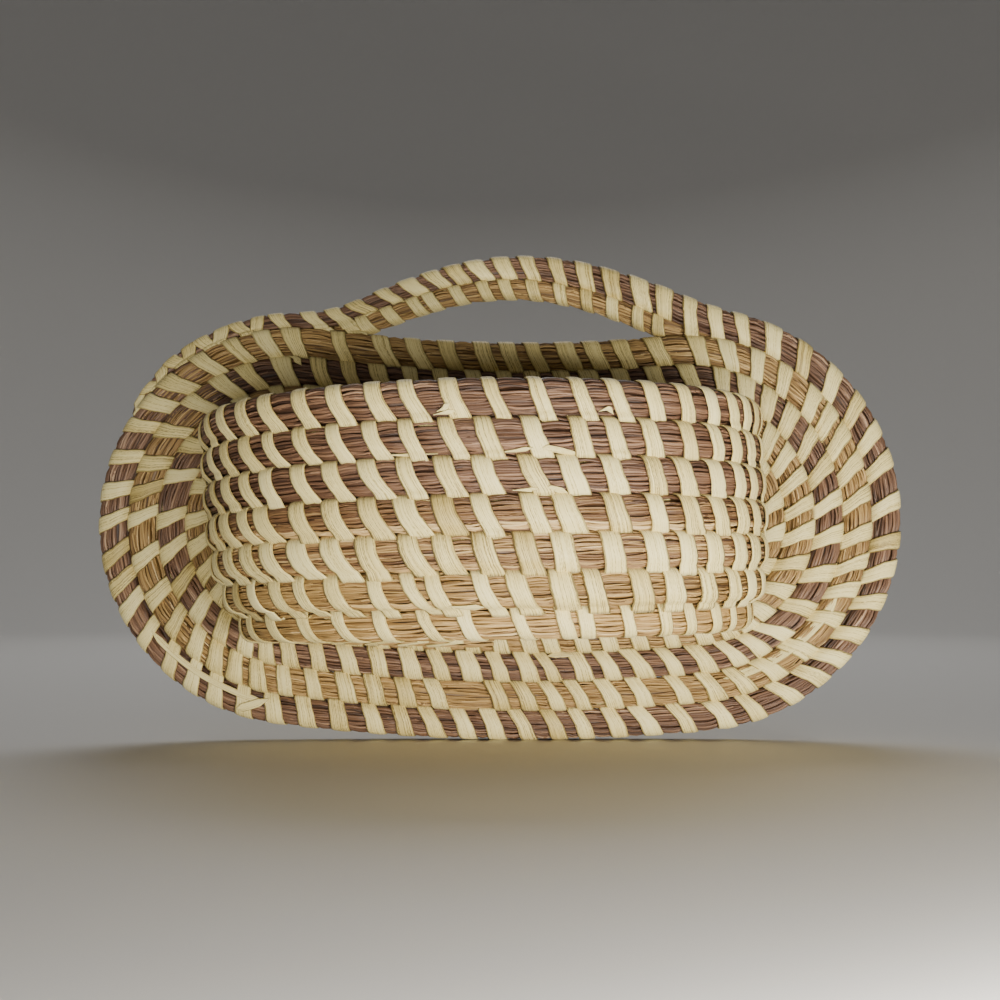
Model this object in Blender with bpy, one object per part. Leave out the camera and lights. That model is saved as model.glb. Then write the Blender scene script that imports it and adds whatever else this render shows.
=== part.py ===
"""Coiled sweetgrass wall basket, in metres.

A flat oval mat of coiled grass hangs against a wall. Its outermost row lifts off at the top as the
handle, with a thinner row under it, and an oval coiled pocket is sewn to the mat's front. +X is to
the right as seen from the front, +Z is up and the front faces -Y. The origin is the point under the
handle where a peg carries the basket.
"""

import math

import bmesh
import bpy
from mathutils import Vector

# Mat: one bundle wound round a straight start row, thin at its centre
MAT_START_LENGTH = 0.108
MAT_START_BOW = 0.003
MAT_CENTRE_PITCH = 0.00635
MAT_ROW_PITCH = 0.0079
MAT_BUNDLE_GAP = 0.0007
MAT_CENTRE_TURNS = 3
MAT_RINGS = 5
BUNDLE_START_SHARE = 0.6
BACK_FLAT_SHARE = 0.1

# Handle: the top of the outermost row, and the thinner row under it
HANDLE_RISE = 0.0177
HANDLE_HALF_SPAN = 0.052
HANDLE_SHIFT = 0.0059
HANDLE_EASE = 0.006
INNER_ROW_DIAMETER = 0.0046

# The rim thins from the handle's right foot to its end, which lies past the handle
RIM_END_TURNS = 0.09
RIM_END_SHARE = 0.35

# Pocket: an oval bundle wound upwards, flat towards the mat
POCKET_WIDTH = 0.1425
POCKET_DEPTH = 0.0627
POCKET_CORNER = 0.0125
POCKET_ROWS = 7
POCKET_ROW_PITCH = 0.00815
POCKET_BUNDLE = 0.0073
POCKET_TUCK = 0.0065
POCKET_SINK = 0.00142
POCKET_LEAN = 0.0032
TUCK_POWER = 6
SINK_POWER = 11
POCKET_SHIFT = -0.0014
POCKET_DROP = 0.0228
FLOOR_THICKNESS = 0.0062

# Palmetto strips
STRIP_WIDTH = 0.0041
STRIP_THICKNESS = 0.00035
HANDLE_STITCH_PITCH = 0.0083

# Clearances between touching pieces
SEAT_GAP = 0.0003
FLOOR_GAP = 0.0005
END_GAP = 0.0003
CUT_OVERRUN = 0.004
MERGE_DISTANCE = 0.000001
SHARP_ANGLE = math.radians(50)

# Points along the bundles
SIDE_STEPS = 4
END_STEPS = 8
HANDLE_STEPS = 14
BACK_STEPS = 2
CORNER_STEPS = 4
FRONT_STEPS = 12
INNER_ROW_STEPS = 14
FLOOR_STEPS = 36
BUNDLE_SIDES = 6
SCAN_STEPS = 400

# Colours seen in the photograph: red, green, blue, opacity
SWEETGRASS = (0.45, 0.27, 0.10, 1.0)
BLENDED_GRASS = (0.33, 0.17, 0.075, 1.0)
PINE_NEEDLE = (0.17, 0.065, 0.035, 1.0)
PALMETTO = (0.72, 0.66, 0.42, 1.0)
GRASS_ROUGHNESS = 0.5
NEEDLE_ROUGHNESS = 0.38
PALMETTO_ROUGHNESS = 0.55

# Shares of one turn of the mat taken by each side and each end
QUARTER = 0.25

# The seam where one grass gives way to the next, in the middle of the top side's last step
SEAM_TURNS = 3 * QUARTER - QUARTER / SIDE_STEPS / 2

# Sizes that follow
CENTRE_RADIUS = (MAT_CENTRE_PITCH - MAT_BUNDLE_GAP) / 2
MAT_RADIUS = (MAT_ROW_PITCH - MAT_BUNDLE_GAP) / 2
INNER_RADIUS = INNER_ROW_DIAMETER / 2
POCKET_RADIUS = POCKET_BUNDLE / 2
CENTRE_END = MAT_CENTRE_TURNS - 1 + SEAM_TURNS
RIM_START = CENTRE_END + MAT_RINGS - 1
RIM_TOP = MAT_CENTRE_TURNS + MAT_RINGS - 1 + 2 * QUARTER
RIM_END = RIM_TOP + QUARTER + RIM_END_TURNS
WALL_PLANE = MAT_RADIUS - 2 * MAT_RADIUS * BACK_FLAT_SHARE
BOW_RADIUS = ((MAT_START_LENGTH / 2) ** 2 + MAT_START_BOW**2) / (2 * MAT_START_BOW)
FLAT_SHARE = math.cos(math.pi / BUNDLE_SIDES)
MAT_FLAT = MAT_RADIUS * FLAT_SHARE
POCKET_FLAT = POCKET_RADIUS * FLAT_SHARE


def add_material(name, colour, roughness):
    material = bpy.data.materials.new(name)
    material.use_nodes = True
    shader = material.node_tree.nodes["Principled BSDF"]
    shader.inputs["Base Color"].default_value = colour
    shader.inputs["Roughness"].default_value = roughness
    shader.inputs["Metallic"].default_value = 0
    material.diffuse_color = colour
    return material


def mat_reach(turns):
    """Distance of the bundle's centre from the start row's centre line."""
    inner = min(turns, CENTRE_END)
    return MAT_CENTRE_PITCH * (inner + QUARTER / 2) + MAT_ROW_PITCH * (turns - inner)


def mat_radius(turns):
    """Half thickness of the bundle: thin at the start, full after the first ring, thinner from the handle on."""
    if turns < 1:
        return CENTRE_RADIUS * (BUNDLE_START_SHARE + (1 - BUNDLE_START_SHARE) * turns)
    if turns < CENTRE_END:
        return CENTRE_RADIUS
    grown = min(turns - CENTRE_END, 1)
    radius = CENTRE_RADIUS + (MAT_RADIUS - CENTRE_RADIUS) * grown
    past = max(turns - RIM_TOP, 0) / (RIM_END - RIM_TOP)
    return radius * (1 - (1 - RIM_END_SHARE) * past)


def bow_rise(x):
    return BOW_RADIUS - math.sqrt(BOW_RADIUS**2 - x**2)


def handle_lift(x):
    """Height of the handle over the row's own path, eased where it leaves the mat."""

    def arch(place):
        share = (place - HANDLE_SHIFT) / HANDLE_HALF_SPAN
        return HANDLE_RISE * math.cos(share * math.pi / 2) if abs(share) < 1 else 0

    return (arch(x - HANDLE_EASE) + arch(x) + arch(x + HANDLE_EASE)) / 3


def mat_place(turns):
    """Place of the bundle's centre in the mat's plane, from the middle of the start row."""
    quarter, share = divmod(turns % 1, QUARTER)
    share /= QUARTER
    half = MAT_START_LENGTH / 2
    tilt = math.asin(half / BOW_RADIUS)
    if quarter == 0:
        x = half * (2 * share - 1)
        angle = math.asin(x / BOW_RADIUS) - math.pi / 2
    elif quarter == 1:
        x = half
        angle = tilt - math.pi / 2 + math.pi * share
    elif quarter == 2:
        x = half * (1 - 2 * share)
        angle = math.asin(x / BOW_RADIUS) + math.pi / 2
    else:
        x = -half
        angle = math.pi / 2 - tilt + math.pi * share
    reach = mat_reach(turns)
    if turns > RIM_TOP:
        reach -= mat_radius(RIM_TOP) - mat_radius(turns)
    across = x + reach * math.cos(angle)
    height = bow_rise(x) + reach * math.sin(angle)
    if turns > RIM_TOP - QUARTER:
        height += handle_lift(across)
    return Vector((across, height, 0))


def mat_marks(start, end):
    """Turns at which the bundle has a point, from one seam to the next."""
    marks = []
    for turn in range(int(start), int(end) + 1):
        for quarter in range(4):
            steps = END_STEPS if quarter % 2 else SIDE_STEPS
            if turn + quarter * QUARTER == RIM_TOP:
                steps = HANDLE_STEPS
            marks += [turn + QUARTER * (quarter + step / steps) for step in range(steps)]
    near = QUARTER / HANDLE_STEPS / 2
    return [start] + [mark for mark in marks if start + near < mark < end - near] + [end]


def trimmed(points):
    """The same route with half the end gap taken off each end."""
    first = points[0] + (points[1] - points[0]).normalized() * END_GAP / 2
    last = points[-1] + (points[-2] - points[-1]).normalized() * END_GAP / 2
    return [first] + points[1:-1] + [last]


def least_gap(points, radii):
    """Least gap of a tube to its own other turns, measured between points along its centre."""
    samples = []
    travelled = 0
    widest = 2 * max(radii)
    for index in range(len(points) - 1):
        run = (points[index + 1] - points[index]).length
        steps = max(int(run / widest * 4), 1)
        for step in range(steps):
            share = step / steps
            place = points[index].lerp(points[index + 1], share)
            radius = radii[index] + (radii[index + 1] - radii[index]) * share
            samples.append((place, radius, travelled + run * share))
        travelled += run
    gap = math.inf
    for index, (place, radius, distance) in enumerate(samples):
        for other, other_radius, other_distance in samples[index + 1 :]:
            if other_distance - distance > 2 * widest:
                gap = min(gap, (place - other).length - radius - other_radius)
    return gap


def add_bundle(name, points, radii, material, tilt=0):
    """An unbroken six-sided tube through the points."""
    curve = bpy.data.curves.new(name, "CURVE")
    curve.dimensions = "3D"
    curve.twist_mode = "Z_UP"
    curve.bevel_depth = max(radii)
    curve.bevel_resolution = 1
    curve.use_fill_caps = True
    spline = curve.splines.new("POLY")
    spline.points.add(len(points) - 1)
    for point, place, radius in zip(spline.points, points, radii):
        point.co = (*place, 1)
        point.radius = radius / max(radii)
        point.tilt = tilt
    curve.materials.append(material)
    bundle = bpy.data.objects.new(name, curve)
    bpy.context.scene.collection.objects.link(bundle)
    print(f"{name}: least gap to itself {least_gap(points, radii) * 1000:.2f} mm")
    return bundle


def upright(place):
    """A place in the mat's plane, moved to where the mat hangs."""
    return MAT_CENTRE + Vector((place.x, 0, place.y))


def add_mesh_object(name, mesh, material):
    mesh.materials.append(material)
    mesh.shade_smooth()
    mesh.set_sharp_from_angle(angle=SHARP_ANGLE)
    thing = bpy.data.objects.new(name, mesh)
    bpy.context.scene.collection.objects.link(thing)
    return thing


def add_wall_cutter():
    """Everything behind the wall plane, which flattens the backs of the mat's rows."""
    mesh = bpy.data.meshes.new("wall_cutter")
    shape = bmesh.new()
    bmesh.ops.create_cube(shape, size=1)
    reach = MAT_START_LENGTH + 2 * mat_reach(RIM_TOP) + 2 * CUT_OVERRUN
    bmesh.ops.scale(shape, vec=(reach, CUT_OVERRUN, reach), verts=shape.verts)
    shape.to_mesh(mesh)
    shape.free()
    cutter = bpy.data.objects.new("wall_cutter", mesh)
    cutter.location = MAT_CENTRE + Vector((0, WALL_PLANE + CUT_OVERRUN / 2, 0))
    cutter.hide_render = True
    cutter.display_type = "WIRE"
    bpy.context.scene.collection.objects.link(cutter)
    return cutter


def flattened(bundle, cutter):
    """The bundle as a mesh standing in the mat's plane, with the wall plane cut off its back."""
    name = bundle.name
    graph = bpy.context.evaluated_depsgraph_get()
    mesh = bpy.data.meshes.new_from_object(bundle.evaluated_get(graph), depsgraph=graph)
    curve = bundle.data
    bpy.data.objects.remove(bundle)
    bpy.data.curves.remove(curve)
    shape = bmesh.new()
    shape.from_mesh(mesh)
    bmesh.ops.remove_doubles(shape, verts=shape.verts, dist=MERGE_DISTANCE)
    shape.to_mesh(mesh)
    shape.free()
    mesh.name = name
    mesh.shade_smooth()
    mesh.set_sharp_from_angle(angle=SHARP_ANGLE)
    thing = bpy.data.objects.new(name, mesh)
    thing.location = MAT_CENTRE
    thing.rotation_euler = (math.pi / 2, 0, 0)
    bpy.context.scene.collection.objects.link(thing)
    cut = thing.modifiers.new("wall_cut", "BOOLEAN")
    cut.operation = "DIFFERENCE"
    cut.object = cutter
    return thing


def add_mat_bundle(name, start, end, material, cutter):
    marks = mat_marks(start, end)
    points = trimmed([mat_place(mark) for mark in marks])
    radii = [mat_radius(mark) for mark in marks]
    return flattened(add_bundle(name, points, radii, material), cutter)


def inner_row_route():
    """Centre of the row under the handle, and the rim's half thickness over it.

    It runs between the two places where the gap closes on the mat.
    """
    closed = MAT_RADIUS + SEAT_GAP + INNER_RADIUS

    def rim(share):
        return mat_radius(RIM_TOP + QUARTER * share)

    def place(share):
        turns = RIM_TOP + QUARTER * share
        here = mat_place(turns)
        ahead = mat_place(turns + QUARTER / SCAN_STEPS)
        outward = Vector((ahead.y - here.y, here.x - ahead.x, 0)).normalized()
        return here - outward * (rim(share) + SEAT_GAP + INNER_RADIUS)

    shares = [step / SCAN_STEPS for step in range(SCAN_STEPS)]
    mat_top = [mat_place(RIM_TOP - 1 + QUARTER * share) for share in shares]
    clear = [share for share in shares if min((place(share) - top).length for top in mat_top) > closed]
    first, last = clear[0], clear[-1]
    marks = [first + (last - first) * step / INNER_ROW_STEPS for step in range(INNER_ROW_STEPS + 1)]
    return [place(mark) for mark in marks], [rim(mark) for mark in marks]


def pocket_inset(rows_up):
    """How far a row is drawn in, from none at the top to the tuck at the bottom row."""
    left = 1 - max(rows_up, 0) / (POCKET_ROWS - 1)
    return POCKET_TUCK * max(left, 0) ** TUCK_POWER


def pocket_rise(rows_up):
    """Height over the bottom row's centre. Drawn-in rows sink towards the row below."""
    left = max(1 - max(rows_up, 0) / (POCKET_ROWS - 1), 0)
    return POCKET_ROW_PITCH * rows_up - POCKET_SINK * (1 - left**SINK_POWER)


def pocket_runs():
    """Lengths of half the straight back, one back corner and the front, for the top row."""
    half_width = POCKET_WIDTH / 2 - POCKET_RADIUS
    reach = POCKET_DEPTH - 2 * POCKET_RADIUS - POCKET_CORNER
    straight = half_width - POCKET_CORNER
    corner = POCKET_CORNER * math.pi / 2
    bow = math.pi * math.sqrt((half_width**2 + reach**2) / 2)
    return half_width, reach, straight, corner, bow


def pocket_plan(share, inset):
    """Centre of a row seen from above.

    It starts in the middle of the back and runs round by the left end and the front.
    """
    half_width, reach, straight, corner, bow = pocket_runs()
    whole = 2 * (straight + corner) + bow
    way = share * whole
    mirror = -1 if way > whole / 2 else 1
    way = min(way, whole - way)
    if way < straight:
        place = Vector((-way, POCKET_CORNER))
        outward = Vector((0, 1))
    elif way < straight + corner:
        angle = math.pi / 2 * (1 + (way - straight) / corner)
        outward = Vector((math.cos(angle), math.sin(angle)))
        place = Vector((-straight, 0)) + outward * POCKET_CORNER
    else:
        angle = math.pi * (1 + (way - straight - corner) / bow)
        place = Vector((half_width * math.cos(angle), reach * math.sin(angle)))
        outward = Vector((math.cos(angle) / half_width, math.sin(angle) / reach)).normalized()
    place -= outward * inset
    return Vector((place.x * mirror, place.y, 0))


def pocket_foot():
    """Centre of the pocket's plan at the height of its lowest row."""
    back = -(MAT_FLAT + SEAT_GAP + POCKET_FLAT + POCKET_CORNER)
    return MAT_CENTRE + Vector((POCKET_SHIFT, back, -POCKET_DROP))


def pocket_place(turns):
    """Centre of the pocket's bundle after so many turns."""
    rows_up = turns - 0.5
    plan = pocket_plan(turns % 1, pocket_inset(rows_up))
    lean = POCKET_LEAN * (0.5 - rows_up / (POCKET_ROWS - 1))
    return pocket_foot() + plan + Vector((lean, 0, pocket_rise(rows_up)))


def pocket_shares():
    """Shares of one turn at which the pocket's bundle has a point."""
    straight, corner, bow = pocket_runs()[2:]
    whole = 2 * (straight + corner) + bow
    back = (straight, BACK_STEPS)
    bend = (corner, CORNER_STEPS)
    shares = []
    travelled = 0
    for run, steps in (back, bend, (bow, FRONT_STEPS), bend, back):
        shares += [(travelled + run * step / steps) / whole for step in range(steps)]
        travelled += run
    return shares


def pocket_route(first_turn, last_turn):
    shares = pocket_shares()
    marks = [turn + share for turn in range(first_turn, last_turn) for share in shares] + [last_turn]
    return [pocket_place(mark) for mark in marks]


def add_pocket_bundle(name, first_turn, last_turn, material):
    points = trimmed(pocket_route(first_turn, last_turn))
    radii = [POCKET_RADIUS] * len(points)
    return add_bundle(name, points, radii, material, tilt=math.pi / BUNDLE_SIDES)


def clear_radius(angle, radius, lift):
    """Distance from the centre of a six-sided bundle to a surface lifted off its sides."""
    side = 2 * math.pi / BUNDLE_SIDES
    return (radius * FLAT_SHARE + lift) / math.cos(angle % side - side / 2)


def binding_outline(rim, lift):
    """Round both rows of the handle: out from the inner row's centre, and towards the wall."""
    side = 2 * math.pi / BUNDLE_SIDES
    between = rim + SEAT_GAP + INNER_RADIUS
    corners = []
    for angle in (0, side, 2 * side):
        reach = clear_radius(angle, rim, lift)
        corners.append((between + reach * math.cos(angle), reach * math.sin(angle)))
    for angle in (2 * side, 3 * side):
        reach = clear_radius(angle, INNER_RADIUS, lift)
        corners.append((reach * math.cos(angle), reach * math.sin(angle)))
    return corners + [(out, -towards) for out, towards in reversed(corners[1:-1])]


def place_along(points, distance):
    """Place and direction at a distance along a route."""
    for start, end in zip(points, points[1:]):
        run = (end - start).length
        if distance <= run or end == points[-1]:
            direction = (end - start).normalized()
            return start + direction * distance, direction
        distance -= run


def add_binding(name, route, rims, material):
    """One strip wound round the handle's two rows, a turn for each stitch."""
    depth = Vector((0, 1, 0))
    sides = len(binding_outline(rims[0], SEAT_GAP))
    length = sum((end - start).length for start, end in zip(route, route[1:]))
    wraps = int((length - STRIP_WIDTH) / HANDLE_STITCH_PITCH)
    first = (length - wraps * HANDLE_STITCH_PITCH) / 2
    shape = bmesh.new()
    rings = []
    for step in range(wraps * sides):
        distance = first + HANDLE_STITCH_PITCH * step / sides
        place, along = place_along(route, distance)
        rim = rims[0] + (rims[-1] - rims[0]) * distance / length
        near = binding_outline(rim, SEAT_GAP)
        far = binding_outline(rim, SEAT_GAP + STRIP_THICKNESS)
        out = Vector((-along.z, 0, along.x))
        out *= 1 if out.z > 0 else -1
        corner = step % sides
        ring = []
        for (rise, towards), edge in ((near[corner], -1), (near[corner], 1), (far[corner], 1), (far[corner], -1)):
            spot = place + out * rise + depth * towards + along * (edge * STRIP_WIDTH / 2)
            ring.append(shape.verts.new(spot))
        rings.append(ring)
    for ring, following in zip(rings, rings[1:]):
        for index in range(4):
            after = (index + 1) % 4
            shape.faces.new((ring[index], ring[after], following[after], following[index]))
    shape.faces.new(rings[0])
    shape.faces.new(rings[-1])
    bmesh.ops.recalc_face_normals(shape, faces=shape.faces)
    mesh = bpy.data.meshes.new(name)
    shape.to_mesh(mesh)
    shape.free()
    return add_mesh_object(name, mesh, material)


def add_floor(name, material):
    """A flat oval plate that closes the pocket inside its lowest row."""
    shrink = POCKET_TUCK + POCKET_RADIUS + FLOOR_GAP
    foot = pocket_foot() + Vector((POCKET_LEAN / 2, 0, -FLOOR_THICKNESS / 2))
    shape = bmesh.new()
    corners = []
    for step in range(FLOOR_STEPS):
        corners.append(shape.verts.new(foot + pocket_plan((step + 0.5) / FLOOR_STEPS, shrink)))
    face = shape.faces.new(corners)
    raised = bmesh.ops.extrude_face_region(shape, geom=[face])
    tops = [item for item in raised["geom"] if isinstance(item, bmesh.types.BMVert)]
    bmesh.ops.translate(shape, verts=tops, vec=(0, 0, FLOOR_THICKNESS))
    bmesh.ops.recalc_face_normals(shape, faces=shape.faces)
    mesh = bpy.data.meshes.new(name)
    shape.to_mesh(mesh)
    shape.free()
    return add_mesh_object(name, mesh, material)


# The mat's centre from the origin. Its height follows from the handle's inner row.
MAT_CENTRE = Vector((-HANDLE_SHIFT, 0, 0))


def main():
    for thing in list(bpy.data.objects):
        bpy.data.objects.remove(thing)
    sweetgrass = add_material("sweetgrass", SWEETGRASS, GRASS_ROUGHNESS)
    blended = add_material("blended_grass", BLENDED_GRASS, GRASS_ROUGHNESS)
    needle = add_material("pine_needle", PINE_NEEDLE, NEEDLE_ROUGHNESS)
    palmetto = add_material("palmetto", PALMETTO, PALMETTO_ROUGHNESS)

    inner, rims = inner_row_route()
    MAT_CENTRE.z = INNER_RADIUS - max(place.y for place in inner)
    cutter = add_wall_cutter()

    add_mat_bundle("mat_centre_coil", 0, CENTRE_END, sweetgrass, cutter)
    for ring, grass in enumerate((sweetgrass, sweetgrass, needle, sweetgrass)):
        start = CENTRE_END + ring
        add_mat_bundle(f"mat_ring_{ring}", start, start + 1, grass, cutter)
    add_mat_bundle("mat_rim_coil", RIM_START, RIM_END, needle, cutter)

    row = add_bundle("handle_inner_row", inner, [INNER_RADIUS] * len(inner), sweetgrass)
    row.location = MAT_CENTRE
    row.rotation_euler = (math.pi / 2, 0, 0)
    add_binding("handle_binding", [upright(place) for place in inner], rims, palmetto)

    add_pocket_bundle("pocket_coil_sweetgrass", 0, 2, sweetgrass)
    add_pocket_bundle("pocket_coil_blended", 2, 4, blended)
    add_pocket_bundle("pocket_coil_pine_needle", 4, POCKET_ROWS, needle)
    add_floor("pocket_floor", sweetgrass)


main()
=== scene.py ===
"""Looks of the coiled sweetgrass wall basket, in metres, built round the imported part.

Every bundle of the part is remade as a core with stems of grass or pine needles laid along it, and
each row is sewn to the row before it with strips of palmetto. A place on a bundle is given by the
distance along it, and by a direction round it: front is away from the wall on the mat and out of
the pocket on the pocket, and out is away from the row that it is sewn to.
"""

import math

import bpy
import numpy as np
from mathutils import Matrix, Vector


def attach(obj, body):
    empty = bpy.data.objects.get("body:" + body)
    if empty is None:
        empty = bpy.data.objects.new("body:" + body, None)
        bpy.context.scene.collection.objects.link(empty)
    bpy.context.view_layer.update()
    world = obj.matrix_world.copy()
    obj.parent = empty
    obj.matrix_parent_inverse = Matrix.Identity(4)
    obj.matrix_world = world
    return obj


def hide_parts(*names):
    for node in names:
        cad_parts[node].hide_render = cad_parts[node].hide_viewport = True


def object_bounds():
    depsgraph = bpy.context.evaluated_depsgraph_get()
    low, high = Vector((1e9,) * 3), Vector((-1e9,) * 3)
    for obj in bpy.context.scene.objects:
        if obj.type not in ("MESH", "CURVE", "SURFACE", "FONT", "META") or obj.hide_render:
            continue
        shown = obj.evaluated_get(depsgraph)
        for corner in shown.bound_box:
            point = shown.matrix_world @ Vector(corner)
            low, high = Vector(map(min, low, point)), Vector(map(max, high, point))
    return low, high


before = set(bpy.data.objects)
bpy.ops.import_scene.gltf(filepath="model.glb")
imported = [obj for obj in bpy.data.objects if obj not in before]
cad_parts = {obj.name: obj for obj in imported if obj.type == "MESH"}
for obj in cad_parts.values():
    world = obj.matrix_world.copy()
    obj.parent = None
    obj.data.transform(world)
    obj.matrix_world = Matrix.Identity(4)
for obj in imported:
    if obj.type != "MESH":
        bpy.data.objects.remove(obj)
CAD_BOX = [list(corner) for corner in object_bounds()]

SEED = 20261129

# Sizes of the part. Mat: one bundle wound round a straight start row, thin at its centre
MAT_START_LENGTH = 0.108
MAT_START_BOW = 0.003
MAT_CENTRE_PITCH = 0.00635
MAT_ROW_PITCH = 0.0079
MAT_BUNDLE_GAP = 0.0007
MAT_CENTRE_TURNS = 3
MAT_RINGS = 5
BUNDLE_START_SHARE = 0.6
BACK_FLAT_SHARE = 0.1

# Handle: the top of the outermost row, and the thinner row under it
HANDLE_RISE = 0.0177
HANDLE_HALF_SPAN = 0.052
HANDLE_SHIFT = 0.0059
HANDLE_EASE = 0.006
INNER_ROW_DIAMETER = 0.0046
INNER_ROW_POINTS = 15
RIM_END_TURNS = 0.09
RIM_END_SHARE = 0.35
RIM_TIP_TURNS = 0.03
RIM_TIP_SHARE = 0.3

# Pocket: an oval bundle wound upwards, flat towards the mat
POCKET_WIDTH = 0.1425
POCKET_DEPTH = 0.0627
POCKET_CORNER = 0.0125
POCKET_ROWS = 7
POCKET_ROW_PITCH = 0.00815
POCKET_BUNDLE = 0.0073
POCKET_TUCK = 0.0065
POCKET_SINK = 0.00142
POCKET_LEAN = 0.0032
TUCK_POWER = 6
SINK_POWER = 11
POCKET_SHIFT = -0.0014
POCKET_DROP = 0.0228
SEAT_GAP = 0.0003
FLOOR_GAP = 0.0005
BUNDLE_SIDES = 6

QUARTER = 0.25
SEAM_TURNS = 0.71875

# Sizes that follow
CENTRE_RADIUS = (MAT_CENTRE_PITCH - MAT_BUNDLE_GAP) / 2
MAT_RADIUS = (MAT_ROW_PITCH - MAT_BUNDLE_GAP) / 2
INNER_RADIUS = INNER_ROW_DIAMETER / 2
POCKET_RADIUS = POCKET_BUNDLE / 2
CENTRE_END = MAT_CENTRE_TURNS - 1 + SEAM_TURNS
RIM_TOP = MAT_CENTRE_TURNS + MAT_RINGS - 1 + 2 * QUARTER
RIM_END = RIM_TOP + QUARTER + RIM_END_TURNS
WALL_PLANE = MAT_RADIUS - 2 * MAT_RADIUS * BACK_FLAT_SHARE
BOW_RADIUS = ((MAT_START_LENGTH / 2) ** 2 + MAT_START_BOW**2) / (2 * MAT_START_BOW)
FLAT_SHARE = math.cos(math.pi / BUNDLE_SIDES)
MAT_FLAT = MAT_RADIUS * FLAT_SHARE
POCKET_FLAT = POCKET_RADIUS * FLAT_SHARE

# Floor of the pocket: a spiral from its middle out, whose last turn climbs, thins and fills the edge
FLOOR_TURNS = 2.5
FLOOR_LAST_TURNS = (FLOOR_TURNS, 2.95, 3.1, 3.4)
FLOOR_LAST_RADII = (0.0029, 0.0026, 0.0013, 0.0003)
FLOOR_LAST_CLIMB = (0, 0.45, 0, 0)
FLOOR_END = FLOOR_LAST_TURNS[-1]
FLOOR_SWELL = 0.0004
FLOOR_START_SHARE = 0.05
FLOOR_HALF = 0.040
FLOOR_MIDDLE = -0.0145
FLOOR_SPREAD = 0.0002
FLOOR_MARKS = (0.3,)
FLOOR_MARGIN = 0.02
FLOOR_WIDTH = 0.0038
FLOOR_LEAN = 0.002
FLOOR_ROW_TURNS = 0.4

# Bundles, which press each other a little square
ROUTE_SAMPLES = 6000
SECTION_POWER = 2.7
MAT_SPREAD = 0.0003
POCKET_SPREAD = 0.0004
INNER_SPREAD = 0.0002
STEM_STEP = 0.0015
STEM_SIDES = 5
STEM_TWIST = 5.0
STEM_COVER = 1.5
STEM_LENGTHS = (0.03, 0.1)
SHORTEST_STEM = 0.02
STEM_SIZES = (0.75, 1.25)
STEM_TIP_SHARE = 0.3
STEM_DIVE = 0.0009
STEM_OVERLAP = 0.006
STEM_TONES = (0.04, 0.97)
THIN_GRASS = 0.85
FEED = 0.014
COLOUR_LAG = 0.1
BULGE = 0.00016
SQUEEZE = 0.00016
SQUEEZE_EASE = 0.0016
CORE_SHARE = 0.78
CORE_SIDES = 10
CORE_TONE = 0.22
CORE_END = 0.004
LONGEST_PIECE = 0.28

# Drifts of a stem or strip: the size and the wave's length
STEM_SWAY = (0.13, 0.05)
STEM_SWELL = (0.12, 0.03)
STEM_SINK = (0.00013, 0.022)
STRIP_SWELL = (0.05, 0.01)

# Palmetto strips
STRIP_THICKNESS = 0.00036
STRIP_CROWN = 0.00009
STITCH_PITCH = 0.0086
LEAST_STITCH = 0.0045
MOST_STITCH = 0.019
MARK_DRIFT = 0.0004
WIDTH_DRIFT = 0.07
LEAN_DRIFT = 0.13
COVER_SHARE = 0.46
VEIN_HEIGHT = 0.00003
OVERLAP_LIFT = 0.0004
STRIP_LIFT = 0.0001
STRIP_TONE = (0.66, 0.11)
STRIP_TONES = (0.3, 0.95)
TAIL_TONE = 0.8
TAIL_POINTS = 30
TAIL_TIP_SHARE = 0.12
TAIL_THICKNESS_SHARE = 0.7
ANYWHERE = (-1.0, 1.0)

# Camera and light
CAMERA_PLACE = (-0.004, -0.2645, -0.08336)
CAMERA_LENS = 34.2
SENSOR = 36
CAMERA_RISE = 0.097

rng = np.random.default_rng(SEED)


def add_object(name, data):
    thing = bpy.data.objects.new(name, data)
    bpy.context.scene.collection.objects.link(thing)
    return thing


def units(vectors):
    return vectors / np.linalg.norm(vectors, axis=1, keepdims=True)


def travel(places):
    """Distance travelled up to each place."""
    return np.concatenate(((0,), np.cumsum(np.linalg.norm(np.diff(places, axis=0), axis=1))))


def ways(angles):
    """Unit steps in directions."""
    return np.stack((np.cos(angles), np.sin(angles)), -1)


# Routes of the part
def mat_reach(turns):
    """Distance of the bundle's centre from the start row's centre line."""
    inner = np.minimum(turns, CENTRE_END)
    return MAT_CENTRE_PITCH * (inner + QUARTER / 2) + MAT_ROW_PITCH * (turns - inner)


def mat_radius(turns):
    grown = np.clip(turns - CENTRE_END, 0, 1)
    full = CENTRE_RADIUS + (MAT_RADIUS - CENTRE_RADIUS) * grown
    early = BUNDLE_START_SHARE + (1 - BUNDLE_START_SHARE) * np.clip(turns, 0, 1)
    past = np.maximum(turns - RIM_TOP, 0) / (RIM_END - RIM_TOP)
    tip = 1 - np.clip((RIM_END - turns) / RIM_TIP_TURNS, 0, 1)
    return full * early * (1 - (1 - RIM_END_SHARE) * past) * (1 - (1 - RIM_TIP_SHARE) * tip)


def bow_rise(x):
    return BOW_RADIUS - np.sqrt(BOW_RADIUS**2 - x**2)


def handle_lift(x):
    """Height of the handle over the row's own path, eased where it leaves the mat."""

    def arch(place):
        share = np.clip((place - HANDLE_SHIFT) / HANDLE_HALF_SPAN, -1, 1)
        return HANDLE_RISE * np.cos(share * np.pi / 2)

    return (arch(x - HANDLE_EASE) + arch(x) + arch(x + HANDLE_EASE)) / 3


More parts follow.
